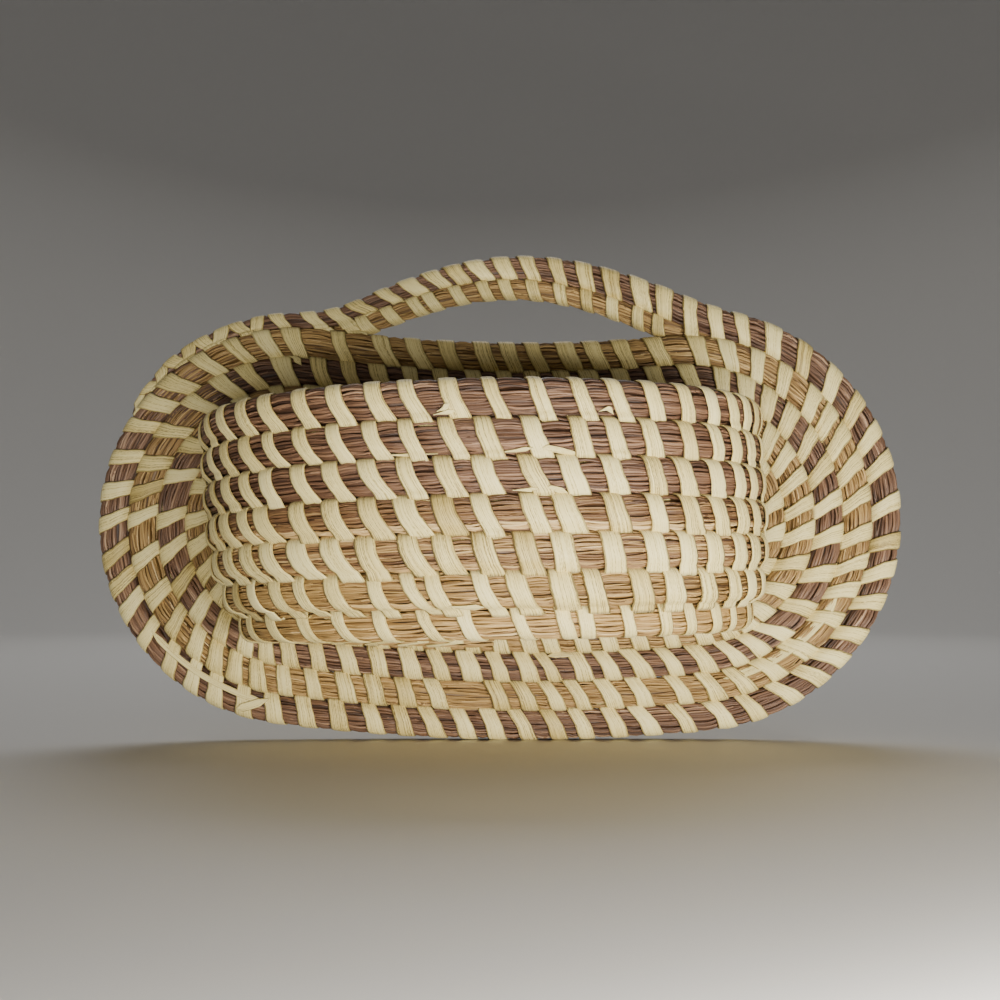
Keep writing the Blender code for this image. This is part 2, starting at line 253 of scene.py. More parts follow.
def mat_place(turns):
    """Place of the bundle's centre across and up in the mat's plane."""
    turns = np.asarray(turns, float)
    quarter, share = np.divmod(np.mod(turns, 1), QUARTER)
    share = share / QUARTER
    half = MAT_START_LENGTH / 2
    tilt = math.asin(half / BOW_RADIUS)
    where = [quarter == 0, quarter == 1, quarter == 2]
    x = np.select(where, [half * (2 * share - 1), half, half * (1 - 2 * share)], -half)
    slope = np.arcsin(x / BOW_RADIUS)
    turned = tilt - np.pi / 2 + np.pi * share
    angle = np.select(where, [slope - np.pi / 2, turned, slope + np.pi / 2], turned + np.pi - 2 * tilt)
    reach = mat_reach(turns)
    reach = reach - np.where(turns > RIM_TOP, mat_radius(RIM_TOP) - mat_radius(turns), 0)
    across = x + reach * np.cos(angle)
    height = bow_rise(x) + reach * np.sin(angle)
    height = height + np.where(turns > RIM_TOP - QUARTER, handle_lift(across), 0)
    return np.stack((across, height), -1)


def inside_row(turns, step, depth):
    """Places at a depth inside the mat's row, square to its path."""
    here = mat_place(turns)
    ahead = mat_place(turns + step)
    outward = np.stack((ahead[:, 1] - here[:, 1], here[:, 0] - ahead[:, 0]), -1)
    return here - units(outward) * depth[:, None]


def inner_row_places():
    """Centre of the row under the handle, between the two places where the gap closes on the mat."""
    scan = 400
    closed = MAT_RADIUS + SEAT_GAP + INNER_RADIUS

    def place(share):
        turns = RIM_TOP + QUARTER * share
        return inside_row(turns, QUARTER / scan, mat_radius(turns) + SEAT_GAP + INNER_RADIUS)

    shares = np.arange(scan) / scan
    top = mat_place(RIM_TOP - 1 + QUARTER * shares)
    apart = np.linalg.norm(place(shares)[:, None] - top[None], axis=-1).min(axis=1)
    clear = shares[apart > closed]
    return place(np.linspace(clear[0], clear[-1], INNER_ROW_POINTS))


MAT_CENTRE = np.array((-HANDLE_SHIFT, 0.0, INNER_RADIUS - inner_row_places()[:, 1].max()))


def upright(places):
    """Places in the mat's plane, moved to where the mat hangs."""
    return MAT_CENTRE + np.stack((places[..., 0], np.zeros(places.shape[:-1]), places[..., 1]), -1)


def pocket_inset(rows_up):
    left = np.clip(1 - np.maximum(rows_up, 0) / (POCKET_ROWS - 1), 0, None)
    return POCKET_TUCK * left**TUCK_POWER


def pocket_rise(rows_up):
    left = np.clip(1 - np.maximum(rows_up, 0) / (POCKET_ROWS - 1), 0, None)
    return POCKET_ROW_PITCH * rows_up - POCKET_SINK * (1 - left**SINK_POWER)


def pocket_runs():
    half_width = POCKET_WIDTH / 2 - POCKET_RADIUS
    reach = POCKET_DEPTH - 2 * POCKET_RADIUS - POCKET_CORNER
    straight = half_width - POCKET_CORNER
    corner = POCKET_CORNER * math.pi / 2
    bow = math.pi * math.sqrt((half_width**2 + reach**2) / 2)
    return half_width, reach, straight, corner, bow


def pocket_plan(share, inset):
    """Centre of a row seen from above, from the middle of the back by the left end and the front."""
    half_width, reach, straight, corner, bow = pocket_runs()
    whole = 2 * (straight + corner) + bow
    way = np.asarray(share, float) * whole
    mirror = np.where(way > whole / 2, -1, 1)
    way = np.minimum(way, whole - way)
    bend = np.pi / 2 * (1 + (way - straight) / corner)
    front = np.pi * (1 + (way - straight - corner) / bow)
    where = [way < straight, way < straight + corner]
    x = np.select(where, [-way, POCKET_CORNER * np.cos(bend) - straight], half_width * np.cos(front))
    y = np.select(where, [POCKET_CORNER + 0 * way, POCKET_CORNER * np.sin(bend)], reach * np.sin(front))
    out_x = np.select(where, [0 * way, np.cos(bend)], np.cos(front) / half_width)
    out_y = np.select(where, [1 + 0 * way, np.sin(bend)], np.sin(front) / reach)
    length = np.hypot(out_x, out_y)
    x = x - out_x / length * inset
    y = y - out_y / length * inset
    return np.stack((x * mirror, y, 0 * x), -1)


BACK_LINE = -(MAT_FLAT + SEAT_GAP + POCKET_FLAT + POCKET_CORNER)
POCKET_FOOT = MAT_CENTRE + np.array((POCKET_SHIFT, BACK_LINE, -POCKET_DROP))


def pocket_place(turns):
    turns = np.asarray(turns, float)
    rows_up = turns - 0.5
    plan = pocket_plan(np.mod(turns, 1), pocket_inset(rows_up))
    plan[..., 0] += POCKET_LEAN * (0.5 - rows_up / (POCKET_ROWS - 1))
    plan[..., 2] += pocket_rise(rows_up)
    return POCKET_FOOT + plan


def floor_radius(turns):
    """The floor's last turn thins, to fill what the spiral leaves open along the edge."""
    return np.interp(turns, FLOOR_LAST_TURNS, FLOOR_LAST_RADII)


def floor_place(turns):
    """Centre of the floor's row: a spiral that grows from a middle line to the plate's edge."""
    turns = np.asarray(turns, float)
    climb = np.interp(turns, FLOOR_LAST_TURNS, FLOOR_LAST_CLIMB)
    inset = pocket_inset(climb) + POCKET_RADIUS + FLOOR_GAP + floor_radius(turns)
    edge = pocket_plan(np.mod(turns, 1), inset)
    middle = edge.copy()
    middle[..., 0] = np.clip(edge[..., 0], -FLOOR_HALF, FLOOR_HALF)
    middle[..., 1] = FLOOR_MIDDLE
    share = FLOOR_START_SHARE + (1 - FLOOR_START_SHARE) * np.minimum(turns / FLOOR_TURNS, 1)
    place = middle + (edge - middle) * share[..., None]
    place[..., 0] += POCKET_LEAN / 2
    place[..., 2] += pocket_rise(climb) / 2
    return POCKET_FOOT + place


# Bundles
class Course:
    """A bundle's centre line at even steps, with its ways along, front and out, and its half sizes."""

    def __init__(self, route, first, last, radius, spread, flat):
        turns = np.linspace(first, last, ROUTE_SAMPLES)
        places = route(turns)
        travelled = travel(places)
        self.length = travelled[-1]
        self.distances = np.linspace(0, self.length, int(self.length / STEM_STEP) + 1)
        self.turns = np.interp(self.distances, travelled, turns)
        self.places = np.stack([np.interp(self.distances, travelled, axis) for axis in places.T], -1)
        self.radii = radius(self.turns)
        self.spread = spread
        self.along = along = units(np.gradient(self.places, axis=0))
        if flat:
            self.front = np.tile((0.0, -1.0, 0.0), (len(along), 1))
            self.out = np.cross(along, self.front)
        else:
            self.out = units(np.array((0.0, 0.0, 1.0)) - along * along[:, 2:])
            self.front = np.cross(along, self.out)
        self.flip = not flat
        self.stitches = np.zeros((0, 3))

    def distance_at(self, turns):
        return np.interp(turns, self.turns, self.distances)

    def turn_at(self, distance):
        return np.interp(distance, self.distances, self.turns)

    def read(self, values, distance):
        return np.stack([np.interp(distance, self.distances, axis) for axis in values.T], -1)

    def at(self, distance, front, out):
        """Places at distances along the bundle and offsets to its front and outwards."""
        place = self.read(self.places, distance)
        beyond = np.maximum(distance - self.length, 0) + np.minimum(distance, 0)
        place = place + self.read(self.along, distance) * beyond[..., None]
        place += self.read(self.front, distance) * front[..., None]
        return place + self.read(self.out, distance) * out[..., None]

    def reach(self, distance, angle, sunk=0.0):
        """Distance from the centre to the bundle's surface in a direction round it."""
        radius = np.interp(distance, self.distances, self.radii) - sunk
        front, out = np.abs(np.cos(angle)) / radius, np.abs(np.sin(angle)) / (radius + self.spread)
        return (front**SECTION_POWER + out**SECTION_POWER) ** (-1 / SECTION_POWER)

    def squeezed(self, distance, angle):
        """How far the stitches press the bundle in, from 0 to 1."""
        if not len(self.stitches):
            return 0 * distance
        centres, widths, leans = self.stitches.T
        pressed = np.zeros_like(distance)
        slot = np.searchsorted(centres, distance)
        for near in (slot - 1, slot):
            index = np.clip(near, 0, len(centres) - 1)
            off = np.abs(distance - centres[index] - leans[index] * lean_share(angle))
            share = 1 - np.clip((off - widths[index] / 2) / SQUEEZE_EASE, 0, 1)
            pressed = np.maximum(pressed, share * share * (3 - 2 * share))
        return pressed

    def covered(self, distance, angle, width):
        """Whether a stitch lies at a place on the bundle."""
        centres, widths, leans = self.stitches.T
        off = np.abs(distance - centres - leans * lean_share(angle))
        return bool(np.any(off < (widths + width) * COVER_SHARE))

    def nearest(self, place, among=True):
        """The step nearest to a place, of those among which it is sought, and how far off it is."""
        away = np.where(among, np.linalg.norm(self.places - place, axis=1), 1)
        return int(away.argmin()), away.min()

    def sewn(self, first, last):
        """The stitches from one distance to another."""
        centres = self.stitches[:, 0]
        return self.stitches[(centres >= first) & (centres < last)]


# Shares of a stitch's lean at directions round the bundle: -90 row below, 0 front, 90 out, 180 back
LEAN_START = np.radians(125)
LEAN_ANGLES = np.radians((-90, -42, 0, 60, 90, 180, 230))
LEAN_SHARES = np.array((1.1, 0.42, -0.08, -0.46, -0.52, -0.6, -0.7))


def lean_share(angle):
    """Where a leaning stitch lies at a direction round the bundle, in shares of its lean."""
    wrapped = np.mod(angle + LEAN_START, 2 * np.pi) - LEAN_START
    return np.interp(wrapped, LEAN_ANGLES, LEAN_SHARES)


class Shell:
    """Closed tubes of four-sided faces, gathered into one mesh with a tone for each tube."""

    def __init__(self):
        self.places, self.quads, self.caps = [], [], []
        self.maps, self.cap_maps, self.tones = [], [], []
        self.count = 0

    def add(self, grid, around, travelled, tone, flip):
        stations, sides = grid.shape[:2]
        index = self.count + np.arange(stations * sides).reshape(stations, sides)
        here, ahead = index[:-1], index[1:]
        quads = np.stack((here, np.roll(here, -1, 1), np.roll(ahead, -1, 1), ahead), -1)
        u = np.stack((around[:-1], around[1:], around[1:], around[:-1]), -1)
        u = np.broadcast_to(u, quads.shape)
        v = np.stack((travelled[:-1], travelled[:-1], travelled[1:], travelled[1:]), -1)
        v = np.broadcast_to(v[:, None, :], quads.shape)
        pairs = np.stack((u, v), -1).reshape(-1, 4, 2)
        quads = quads.reshape(-1, 4)
        first, last = index[0][::-1], index[-1]
        if flip:
            quads, pairs = quads[:, ::-1], pairs[:, ::-1]
            first, last = first[::-1], last[::-1]
        self.quads.append(quads)
        self.maps.append(pairs)
        for cap, way in ((first, travelled[0]), (last, travelled[-1])):
            self.caps.append(cap.tolist())
            self.cap_maps += [(around[side], way) for side in range(sides)]
        self.places.append(grid.reshape(-1, 3))
        self.tones.append(np.full(stations * sides, tone))
        self.count += stations * sides

    def build(self, name, material):
        quads = np.concatenate(self.quads)
        mesh = bpy.data.meshes.new(name)
        mesh.from_pydata(np.concatenate(self.places), [], quads.tolist() + self.caps)
        layer = mesh.uv_layers.new(name="Strand")
        pairs = np.concatenate((np.concatenate(self.maps).reshape(-1, 2), np.array(self.cap_maps)))
        layer.uv.foreach_set("vector", pairs.astype(np.float32).ravel())
        tone = mesh.attributes.new("tone", "FLOAT", "POINT")
        tone.data.foreach_set("value", np.concatenate(self.tones).astype(np.float32))
        mesh.materials.append(material)
        mesh.shade_smooth()
        mesh.update()
        piece = add_object(name, mesh)
        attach(piece, "root")
        return piece


def wander(distance, size, wave):
    """A smooth random drift along a distance, from three waves."""
    phases = rng.uniform(0, 2 * np.pi, 3)
    waves = wave * rng.uniform((0.8, 0.4, 0.2), (1.2, 0.6, 0.3))
    sizes = np.array((0.6, 0.3, 0.16)) * size
    return sum(s * np.sin(distance * 2 * np.pi / w + p) for s, w, p in zip(sizes, waves, phases))


def lay_stem(shell, course, first, last, slot_angle, thickness, tone, limits):
    distance = np.linspace(first, last, max(int((last - first) / STEM_STEP), 4))
    angle = slot_angle + STEM_TWIST * distance + wander(distance, *STEM_SWAY)
    edge = np.minimum(distance - first, last - distance) / STEM_OVERLAP
    shape = np.clip(edge, 0, 1)
    shape = STEM_TIP_SHARE + (1 - STEM_TIP_SHARE) * shape * shape * (3 - 2 * shape)
    half = thickness / 2 * shape * (1 + wander(distance, *STEM_SWELL))
    sunk = half + (1 - shape) * STEM_DIVE + wander(distance, *STEM_SINK)
    sunk += (BULGE + SQUEEZE) * course.squeezed(distance, angle) - BULGE
    reach = course.reach(distance, angle, sunk)
    low, high = limits
    front = np.clip(reach * np.cos(angle), low + thickness / 2, high)
    out = reach * np.sin(angle)
    turn = np.arange(STEM_SIDES) / STEM_SIDES * 2 * np.pi
    front = front[:, None] + half[:, None] * np.cos(angle[:, None] + turn)
    out = out[:, None] + half[:, None] * np.sin(angle[:, None] + turn)
    grid = course.at(np.broadcast_to(distance[:, None], front.shape), front, out)
    around = np.arange(STEM_SIDES + 1) / STEM_SIDES
    shell.add(grid, around, distance + rng.uniform(0, 5), tone, course.flip)


def lay_core(shell, course, first, last, limits):
    distance = np.linspace(first, last, max(int((last - first) / STEM_STEP / 2), 4))[:, None]
    turn = np.arange(CORE_SIDES) / CORE_SIDES * 2 * np.pi
    reach = course.reach(distance, turn[None]) * CORE_SHARE
    front = np.clip(reach * np.cos(turn), limits[0] * CORE_SHARE, limits[1])
    grid = course.at(np.broadcast_to(distance, front.shape), front, reach * np.sin(turn))
    shell.add(grid, np.arange(CORE_SIDES + 1) / CORE_SIDES, distance[:, 0], CORE_TONE, course.flip)


def lay_stretch(name, course, first, last, grass, limits, thin):
    """The stems of one stretch of bundle. Each runs a while and gives way to the next."""
    shell = Shell()
    lay_core(shell, course, max(first, CORE_END), min(last, course.length - CORE_END), limits)
    thickness = grass["thickness"] * thin
    middle = np.interp((first + last) / 2, course.distances, course.radii) - thickness / 2
    count = int(2 * np.pi * middle / thickness * STEM_COVER)
    for slot in range(count):
        slot_angle = 2 * np.pi * (slot + rng.uniform(-0.2, 0.2)) / count
        place = max(first + rng.uniform(-FEED, FEED / 3), 0)
        stop = min(last + rng.uniform(-FEED / 3, FEED), course.length)
        while place < stop:
            reach = place + rng.uniform(*STEM_LENGTHS)
            if stop - reach < SHORTEST_STEM:
                reach = stop
            start = max(place - STEM_OVERLAP, 0)
            end = min(reach + STEM_OVERLAP, course.length)
            middle = (start + end) / 2
            angle = np.mod(slot_angle + STEM_TWIST * middle + np.pi, 2 * np.pi) - np.pi
            mean, spread = grass["shade"](float(course.turn_at(middle)), math.degrees(angle))
            tone = float(np.clip(rng.normal(mean, spread), *STEM_TONES))
            size = thickness * rng.uniform(*STEM_SIZES)
            lay_stem(shell, course, start, end, slot_angle, size, tone, limits)
            place = reach
    return shell.build(name, grass["material"])


def lay_bundle(node, course, first, last, grass, limits=ANYWHERE, thin=1.0):
    """The bundle of a node, in pieces of handy length that stand for it together."""
    count = int(math.ceil((last - first) / LONGEST_PIECE))
    ends = np.linspace(first, last, count + 1)
    for number in range(count):
        name = f"{node}_stems_{number + 1}"
        piece = lay_stretch(name, course, ends[number], ends[number + 1], grass, limits, thin)
        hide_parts(node)


# Stitches: a strip's section, and how far a stitch reaches round its row and the row below
STRIP_TOP = np.linspace(-1, 1, 9)
STRIP_UNDER = np.array((0.86, 0.0, -0.86))
STRIP_ACROSS = np.concatenate((STRIP_TOP, STRIP_UNDER))
STRIP_MAP = np.concatenate((0.5 + STRIP_TOP / 2, 0.5 + STRIP_UNDER / 2, (0.0,)))
LEAVE = math.radians(136)
DEEP = math.radians(34)
ROOT_SHARES = (0.45, 0.78)
SLIT_LIFT_SHARE = 0.6
SLIT_EASE = 0.16
SPAN_SHARES = (0.33, 0.66)
ARC_POINTS = 19
LOOP_POINTS = 24
POCKET_BITE = (26, 44)
MAT_BITE = (18, 34)
TUCKED_BITE = (12, 16)
LAPPED_BITE = math.radians(35)
CROSSING = 6
SLIP = 150
MAT_PINCH = 0.1
POCKET_FLARE = 0.3
PINCH_SHARE = 0.42

# Directions where a stitch may lie on one of the row below, with its lean there
OVERLAP_PLACES = ((math.radians(40), 0.75), (math.radians(140), -1.0))


def on_circle(length, angle):
    return length * np.array((math.cos(angle), math.sin(angle)))


def stitch_path(course, distance, below, lifts, limits, bite):
    """Where a stitch runs round a row: from the row before it, over the far side, and back."""
    offset, below_course, below_distance = below
    away = math.atan2(-offset[1], -offset[0])
    halves = []
    for side, lift in zip((-1, 1), lifts):
        shoulder = away + side * bite
        deep = away + side * min(DEEP, bite)
        surface = float(below_course.reach(below_distance, shoulder))
        slit = surface - STRIP_LIFT + lift * SLIT_LIFT_SHARE
        points = [
            offset + on_circle(surface * ROOT_SHARES[0], deep),
            offset + on_circle(surface * ROOT_SHARES[1], shoulder),
            offset + on_circle(slit, shoulder - side * SLIT_EASE),
            offset + on_circle(surface + lift, shoulder),
        ]
        leave = away + side * LEAVE
        touch = on_circle(float(course.reach(distance, leave)), leave)
        points += [points[-1] + (touch - points[-1]) * share for share in SPAN_SHARES]
        halves.append(points)
    turns = away + np.linspace(-LEAVE, LEAVE, ARC_POINTS)
    arc = list(course.reach(distance, turns)[:, None] * ways(turns))
    path = np.array(halves[0] + arc + halves[1][::-1])
    path[:, 0] = np.clip(path[:, 0], *limits)
    return path


def stitch_loop(course, distance, limits):
    """A stitch right round the bundle, where there is no row before it."""
    turns = np.radians(np.linspace(-170, 170, LOOP_POINTS))
    path = course.reach(distance, turns)[:, None] * ways(turns)
    path[:, 0] = np.clip(path[:, 0], *limits)
    return path


def strip_heights():
    veins = rng.uniform(-1, 1, len(STRIP_TOP)) * VEIN_HEIGHT
    top = STRIP_CROWN * (1 - STRIP_TOP**2) + STRIP_THICKNESS * (1 - 0.3 * STRIP_TOP**8) + veins
    return np.concatenate((top, STRIP_CROWN * (1 - STRIP_UNDER**2) * 0.8))


def lay_stitch(shell, course, below, stitch, limits, bite, pinch):
    """A strip along its path round the bundle, crowned across and ribbed with veins."""
    centre, width, lean = stitch
    if below is None:
        path = stitch_loop(course, centre, limits)
    else:
        _, below_course, below_distance = below
        lifts = []
        for angle, share in OVERLAP_PLACES:
            covered = below_course.covered(below_distance + lean * share, angle, width)
            lifts.append(OVERLAP_LIFT if covered and bite > LAPPED_BITE else STRIP_LIFT)
        path = stitch_path(course, centre, below, lifts, limits, bite)
    ahead = units(np.gradient(path, axis=0))
    normal = np.stack((ahead[:, 1], -ahead[:, 0]), -1)
    travelled = travel(path)
    height = strip_heights()
    leans = lean * lean_share(np.arctan2(path[:, 1], path[:, 0]))
    if below is not None:
        first, last = CROSSING, -CROSSING - 1
        leans[:first] = leans[first] + lean * SLIP * (travelled[first] - travelled[:first])
        leans[last:] = leans[last] - lean * SLIP * (travelled[last:] - travelled[last])
    ends = np.minimum(np.arange(len(path)), np.arange(len(path))[::-1]) / len(path)
    pinched = 1 - pinch * np.clip(1 - ends / PINCH_SHARE, 0, 1)
    widths = width / 2 * pinched * (1 + wander(travelled, *STRIP_SWELL))
    distance = centre + leans[:, None] + widths[:, None] * STRIP_ACROSS
    front = path[:, :1] + normal[:, :1] * height
    out = path[:, 1:] + normal[:, 1:] * height
    tone = float(np.clip(rng.normal(*STRIP_TONE), *STRIP_TONES))
    places = course.at(distance, front, out)
    shell.add(places, STRIP_MAP, travelled + rng.uniform(0, 5), tone, not course.flip)


def lay_tail(shell, course, marks, width, tips):
    """A loose end of palmetto. Marks are a turn, degrees round the row, and a height in mm."""
    turns, degrees, heights = np.array(marks, float).T
    share = np.linspace(0, 1, TAIL_POINTS)
    knots = np.linspace(0, 1, len(turns))
    values = []
    for row in (course.distance_at(turns), np.radians(degrees), heights / 1000):
        line = np.interp(share, knots, row)
        for _ in range(4):
            line[1:-1] = (line[:-2] + 2 * line[1:-1] + line[2:]) / 4
        values.append(line)
    distance, angle, lift = values
    reach = course.reach(distance, angle) + lift
    places = course.at(distance, reach * np.cos(angle), reach * np.sin(angle))
    normal = course.read(course.front, distance) * np.cos(angle)[:, None]
    normal += course.read(course.out, distance) * np.sin(angle)[:, None]
    side = units(np.cross(normal, units(np.gradient(places, axis=0))))
    start, end = share / tips[0], (1 - share) / tips[1]
    narrow = np.clip(start, TAIL_TIP_SHARE, 1) * np.clip(end, TAIL_TIP_SHARE, 1)
    across = (width / 2 * narrow)[:, None] * STRIP_ACROSS
    grid = places[:, None] + side[:, None] * across[..., None]
    grid = grid + normal[:, None] * (strip_heights() * TAIL_THICKNESS_SHARE)[None, :, None]
    shell.add(grid, STRIP_MAP, travel(places) + rng.uniform(0, 5), TAIL_TONE, True)


def offset_to(course, distance, place):
    """Front and out offsets of a place from the bundle's centre at a distance."""
    away = place - course.read(course.places, distance)
    front, out = course.read(course.front, distance), course.read(course.out, distance)
    return np.array((float(np.dot(away, front)), float(np.dot(away, out))))


def fill_marks(course, marks, first, last):
    """Distances of stitches: those that are given, and even ones wherever they leave a gap."""
    start, stop = course.distance_at(first), course.distance_at(last)
    known = [place for place in course.distance_at(np.array(marks)) if start < place < stop]
    edges = [start, *known, stop]
    places = []
    for one, other in zip(edges, edges[1:]):
        gap = other - one
        if gap < LEAST_STITCH:
            continue
        count = int(round(gap / STITCH_PITCH)) if gap > MOST_STITCH else 1
        even = one + gap * np.arange(count) / count
        even[1:] += rng.normal(0, MARK_DRIFT, count - 1)
        places += list(even)
    return np.array(places[1:])


def plan_stitches(course, marks, first, last, width_of, lean_of):
    """Places, widths and leans of the stitches from one turn to another."""
    places = fill_marks(course, marks, first, last)
    turns = course.turn_at(places)
    widths = np.array([width_of(turn) for turn in turns]) * rng.normal(1, WIDTH_DRIFT, len(places))
    leans = np.array([lean_of(turn) for turn in turns]) * rng.normal(1, LEAN_DRIFT, len(places))
    return np.stack((places, widths, leans), -1)


# Materials
class Nodes:
    """A short way to add nodes to a material and link them."""

    def __init__(self, name):
        self.material = bpy.data.materials.new(name)
        self.material.use_nodes = True
        self.tree = self.material.node_tree
        self.shader = self.tree.nodes["Principled BSDF"]

    def add(self, kind, inputs=(), **settings):
        node = self.tree.nodes.new(kind)
        for key, value in settings.items():
            setattr(node, key, value)
        for key, value in dict(inputs).items():
            if isinstance(value, bpy.types.NodeSocket):
                self.tree.links.new(value, node.inputs[key])
            else:
                node.inputs[key].default_value = value
        return node

    def link(self, output, socket):
        self.tree.links.new(output, self.shader.inputs[socket])

    def ramp(self, factor, stops):
        node = self.add("ShaderNodeValToRGB", {"Fac": factor})
        elements = node.color_ramp.elements
        while len(elements) < len(stops):
            elements.new(1.0)
        for element, (position, colour) in zip(elements, stops):
            element.position = position
            element.color = (*colour, 1)
        return node.outputs["Color"]

    def noise(self, scale, detail=3.0):
        """Noise laid along the strand, from its own map."""
        where = self.add("ShaderNodeUVMap", uv_map="Strand").outputs["UV"]
        where = self.add("ShaderNodeMapping", {"Vector": where, "Scale": scale}).outputs["Vector"]
        sockets = {"Vector": where, "Scale": 1.0, "Detail": detail, "Roughness": 0.6}
        return self.add("ShaderNodeTexNoise", sockets).outputs["Fac"]

    def spread(self, value, low, high, to_low=0.0, to_high=1.0):
        """A value mapped from one range to another."""
        node = self.add("ShaderNodeMapRange", {0: value, 1: low, 2: high, 3: to_low, 4: to_high})
        return node.outputs[0]

    def math(self, operation, *values, clamp=False):
        inputs = enumerate(values)
        return self.add("ShaderNodeMath", inputs, operation=operation, use_clamp=clamp).outputs[0]

    def sum(self, first, second, weight):
        """The first value plus a share of the second."""
        return self.math("MULTIPLY_ADD", second, weight, first, clamp=True)

    def edges(self, low, high):
        """From 0 in a strip's middle to 1 along its edges."""
        where = self.add("ShaderNodeUVMap", uv_map="Strand").outputs["UV"]
        across = self.add("ShaderNodeSeparateXYZ", {"Vector": where}).outputs["X"]
        return self.spread(self.math("ABSOLUTE", self.math("SUBTRACT", across, 0.5)), low, high)

    def bump(self, height, strength, distance):
        node = self.add("ShaderNodeBump", {"Height": height, "Strength": strength, "Distance": distance})
        self.link(node.outputs["Normal"], "Normal")

    def tone(self):
        return self.add("ShaderNodeAttribute", attribute_name="tone").outputs["Fac"]


# Scales of noise are across the strand, along it, and 1
def grass_material(name, stops, roughness, coat):
    nodes = Nodes(name)
    streaks = nodes.spread(nodes.noise((7.0, 45.0, 1.0)), 0.25, 0.75, -0.5, 0.5)
    patches = nodes.spread(nodes.noise((1.0, 30.0, 1.0), detail=2.0), 0.25, 0.75, -0.5, 0.5)
    mixed = nodes.sum(nodes.sum(nodes.tone(), streaks, 0.42), patches, 0.3)
    nodes.link(nodes.ramp(mixed, stops), "Base Color")
    nodes.link(nodes.spread(nodes.noise((6.0, 200.0, 1.0)), 0.2, 0.8, *roughness), "Roughness")
    nodes.bump(nodes.noise((13.0, 70.0, 1.0), detail=2.0), 0.7, 0.0002)
    nodes.shader.inputs["Coat Weight"].default_value = coat
    nodes.shader.inputs["Coat Roughness"].default_value = 0.3
    return nodes.material


def palmetto_material(name, stops):
    nodes = Nodes(name)
    lines = nodes.spread(nodes.noise((26.0, 30.0, 1.0), detail=1.0), 0.38, 0.5, -1.0, 0.0)
    dots = nodes.spread(nodes.noise((30.0, 1300.0, 1.0), detail=2.0), 0.33, 0.58)
    shades = nodes.spread(nodes.noise((5.0, 60.0, 1.0)), 0.25, 0.75, -0.5, 0.5)
    mixed = nodes.sum(nodes.sum(nodes.tone(), shades, 0.3), nodes.math("MULTIPLY", lines, dots), 0.62)
    # Darker strip edges: partly the strips' own brownish edges, partly painted shade along their raised
    # edges
    mixed = nodes.sum(mixed, nodes.edges(0.4, 0.5), -0.45)
    nodes.link(nodes.ramp(mixed, stops), "Base Color")
    nodes.link(nodes.spread(nodes.noise((8.0, 300.0, 1.0)), 0.2, 0.8, 0.42, 0.62), "Roughness")
    nodes.bump(nodes.noise((20.0, 30.0, 1.0), detail=3.0), 0.6, 0.0002)
    nodes.shader.inputs["Sheen Weight"].default_value = 0.06
    return nodes.material


def plain_material(name, colour, roughness):
    nodes = Nodes(name)
    nodes.shader.inputs["Base Color"].default_value = (*colour, 1)
    nodes.shader.inputs["Roughness"].default_value = roughness
    return nodes.material


SWEETGRASS_STOPS = (
    (0.0, (0.07, 0.034, 0.01)),
    (0.3, (0.24, 0.135, 0.042)),
    (0.6, (0.46, 0.29, 0.1)),
    (0.85, (0.64, 0.43, 0.17)),
    (1.0, (0.8, 0.6, 0.3)),
)
BLENDED_STOPS = (
    (0.0, (0.055, 0.024, 0.01)),
    (0.25, (0.16, 0.08, 0.034)),
    (0.5, (0.29, 0.165, 0.066)),
    (0.75, (0.52, 0.34, 0.13)),
    (1.0, (0.78, 0.58, 0.3)),
)
NEEDLE_STOPS = (
    (0.0, (0.03, 0.013, 0.007)),
    (0.3, (0.095, 0.046, 0.025)),
    (0.6, (0.19, 0.1, 0.054)),
    (0.85, (0.32, 0.185, 0.105)),
    (1.0, (0.5, 0.33, 0.2)),
)
PALMETTO_STOPS = (
    (0.0, (0.22, 0.15, 0.04)),
    (0.3, (0.58, 0.45, 0.15)),
    (0.6, (0.85, 0.72, 0.31)),
    (1.0, (0.95, 0.85, 0.44)),
)


# The mean and the spread of the stems' tones at a turn and a direction round the bundle
def plain_shade(turn, degrees):
    return 0.5, 0.18


def golden_shade(turn, degrees):
    """The two lowest rows of the pocket are golden, apart from a few brown stems to the right."""
    share = turn % 1
    if turn > 1 and (0.51 < share < 0.57 or share > 0.66):
        return 0.36, 0.22
    return 0.56, 0.15


def blended_shade(turn, degrees):
    """Row 5 is mostly tan. Row 4 is brown with a tan edge at its foot."""
    if turn < 3:
        return (0.55, 0.16) if turn % 1 < 0.6 else (0.47, 0.2)
    return (0.84, 0.06) if -72 < degrees < -34 else (0.3, 0.13)


def grass(slot, material, thickness, shade):
    return {"slot": slot, "material": material, "thickness": thickness, "shade": shade}


palmetto = palmetto_material("palmetto_strip", PALMETTO_STOPS)
tan = grass_material("sweetgrass_stems", SWEETGRASS_STOPS, roughness=(0.34, 0.58), coat=0.08)
SWEETGRASS = grass("sweetgrass", tan, 0.00052, plain_shade)
GOLDEN = grass("sweetgrass", tan, 0.00052, golden_shade)
mixed = grass_material("mixed_stems", BLENDED_STOPS, roughness=(0.34, 0.58), coat=0.08)
BLENDED = grass("blended_grass", mixed, 0.0006, blended_shade)
brown = grass_material("pine_needles", NEEDLE_STOPS, roughness=(0.36, 0.56), coat=0.05)
NEEDLES = grass("pine_needle", brown, 0.00072, plain_shade)
